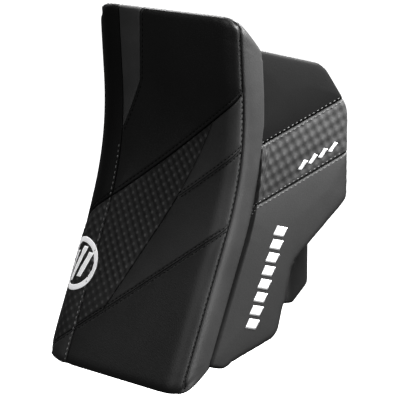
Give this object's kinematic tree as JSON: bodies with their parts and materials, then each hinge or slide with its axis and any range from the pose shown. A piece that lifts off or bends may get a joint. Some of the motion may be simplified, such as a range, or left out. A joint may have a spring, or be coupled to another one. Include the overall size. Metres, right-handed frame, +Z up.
{
  "type": "goalie blocker",
  "caption": "Right-hand ice hockey goalie blocker: curved padded board with a flared finger guard wing, hand pocket, finger and thumb stalls and a strapped cuff.",
  "frame": {"origin": "centre of the cuff mouth, where the hand goes in", "axes": "+Z up the board and out of the cuff mouth, -Y towards the shooter, +X towards the finger guard wing"},
  "size_m": [0.251, 0.2137, 0.3648],
  "materials": {
    "cover_black": "matte synthetic leather",
    "cover_dimpled": "matte, punched with small dimples",
    "strip_mesh": "fine textured fabric",
    "side_grey": "matte synthetic leather",
    "wing_grey": "matte synthetic leather",
    "wing_dimpled": "matte, punched with small dimples",
    "binding": "matte",
    "foam": "closed cell foam, which fabric stands in for",
    "stiff_plastic": "moulded sheet",
    "steel": "zinc plated",
    "palm_leather": "soft split leather",
    "lining": "brushed knit",
    "webbing": "woven nylon",
    "hook_loop": "hook and loop"
  },
  "bodies": {
    "board": {"board_core": "foam", "board_stiffener": "stiff_plastic", "face_foam": "foam", "face_panel_upper": "cover_black", "face_strip_grey": "strip_mesh", "face_panel_dimpled": "cover_dimpled", "face_panel_middle": "cover_black", "face_panel_lower": "cover_black", "face_panel_bottom": "cover_black", "edge_strip_upper": "cover_black", "edge_strip_dimpled": "cover_dimpled", "edge_strip_lower": "cover_black", "sidewall_wing": "side_grey", "sidewall_outer": "cover_black", "end_cover_top": "side_grey", "end_cover_bottom": "cover_black", "back_cover": "cover_black", "wing_panel_upper": "wing_grey", "wing_panel_dimpled": "wing_dimpled", "wing_panel_lower": "wing_grey", "wing_foam": "foam", "wing_plate": "stiff_plastic", "wing_lining": "lining", "wing_edge_band": "side_grey", "tee_nuts": "steel", "palm_screws": "steel", "screw_washers": "steel", "knuckle_pad": "lining", "wrist_pad": "lining", "hand_backing": "stiff_plastic", "hand_liner": "lining", "palm": "palm_leather", "cuff_side_wing": "cover_black", "cuff_side_outer": "cover_black", "strap_loop_patch": "hook_loop"},
    "finger_index": {"finger_stall_index": "palm_leather"},
    "finger_middle": {"finger_stall_middle": "palm_leather"},
    "finger_ring": {"finger_stall_ring": "palm_leather"},
    "finger_little": {"finger_stall_little": "palm_leather"},
    "thumb": {"thumb_stall": "palm_leather", "thumb_guard": "cover_black", "thumb_guard_insert": "stiff_plastic"},
    "flap": {"cuff_flap": "cover_black", "strap_anchor": "webbing"},
    "strap": {"strap_tail": "webbing", "strap_hook_patch": "hook_loop"}
  },
  "joints": [
    {"name": "little_curl", "type": "hinge", "parent": "board", "child": "finger_little", "pos_m": [-0.0345, -0.05799, -0.21242], "axis": [1, 0, 0], "range_deg": [-8, 22], "stiffness_Nm_per_rad": 0.6},
    {"name": "ring_curl", "type": "hinge", "parent": "board", "child": "finger_ring", "pos_m": [-0.0115, -0.05799, -0.21242], "axis": [1, 0, 0], "range_deg": [-8, 22], "stiffness_Nm_per_rad": 0.6},
    {"name": "middle_curl", "type": "hinge", "parent": "board", "child": "finger_middle", "pos_m": [0.0115, -0.05799, -0.21242], "axis": [1, 0, 0], "range_deg": [-8, 22], "stiffness_Nm_per_rad": 0.6},
    {"name": "index_curl", "type": "hinge", "parent": "board", "child": "finger_index", "pos_m": [0.0345, -0.05799, -0.21242], "axis": [1, 0, 0], "range_deg": [-8, 22], "stiffness_Nm_per_rad": 0.6},
    {"name": "thumb_swing", "type": "hinge", "parent": "board", "child": "thumb", "pos_m": [0.064, -0.026, -0.128], "axis": [1, 0, 0], "range_deg": [-5, 35], "stiffness_Nm_per_rad": 1.5},
    {"name": "flap_open", "type": "hinge", "parent": "board", "child": "flap", "pos_m": [0.0505, 0.036, -0.0365], "axis": [0, 0, -1], "range_deg": [0, 50]},
    {"name": "strap_peel", "type": "hinge", "parent": "flap", "child": "strap", "pos_m": [-0.05865, 0.0389, -0.0365], "axis": [0, 0, -1], "range_deg": [0, 120]}
  ]
}
